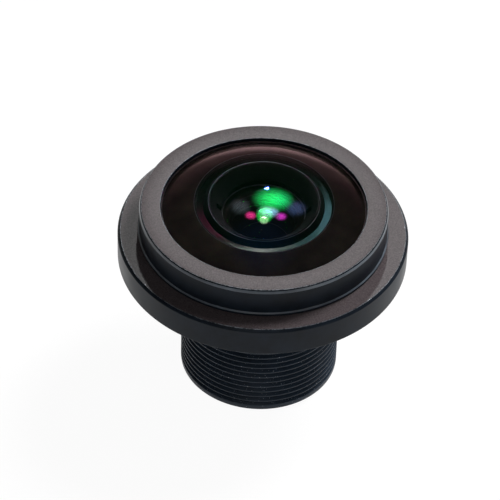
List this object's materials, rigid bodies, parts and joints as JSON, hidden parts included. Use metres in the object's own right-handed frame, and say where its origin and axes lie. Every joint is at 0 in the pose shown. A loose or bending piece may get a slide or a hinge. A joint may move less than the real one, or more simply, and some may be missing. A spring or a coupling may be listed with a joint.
{
  "type": "fisheye lens",
  "caption": "Short wide-angle board lens with a fine external thread, a wide plain flange and a domed front glass held by a flat ring.",
  "frame": {"origin": "centre of the rear face, on the optical axis", "axes": "+Z along the optical axis, towards the scene that the lens looks at"},
  "size_m": [0.0216, 0.0216, 0.0177],
  "materials": {
    "barrel_anodised": "black anodised, satin on the turned walls and finely blasted on the flat face",
    "ring_anodised": "black anodised, finely blasted on the flat face",
    "inner_anodised": "matte black anodised",
    "front_glass": "polished, with a faint anti-reflection coating",
    "second_glass": "polished, with a green anti-reflection coating",
    "inner_glass": "polished, anti-reflection coated",
    "filter_glass": "polished plate with an infrared-cut coating",
    "seal_rubber": "matte black",
    "black_film": "matte black film",
    "adhesive": "cured black adhesive"
  },
  "bodies": {
    "root": {"main_barrel": "barrel_anodised", "front_retaining_ring": "ring_anodised", "front_dome_lens": "front_glass", "front_seal_ring": "seal_rubber", "front_light_mask": "black_film", "inner_retaining_ring": "inner_anodised", "second_lens": "second_glass", "second_light_mask": "black_film", "second_spacer_ring": "inner_anodised", "third_lens": "inner_glass", "stop_spacer_ring": "inner_anodised", "aperture_stop": "black_film", "fourth_lens": "inner_glass", "middle_spacer_ring": "inner_anodised", "doublet_front_lens": "inner_glass", "doublet_rear_lens": "inner_glass", "rear_light_mask": "black_film", "rear_spacer_ring": "inner_anodised", "rear_lens": "inner_glass", "rear_retaining_ring": "inner_anodised", "ir_cut_filter": "filter_glass", "filter_adhesive_ring": "adhesive"}
  },
  "joints": []
}
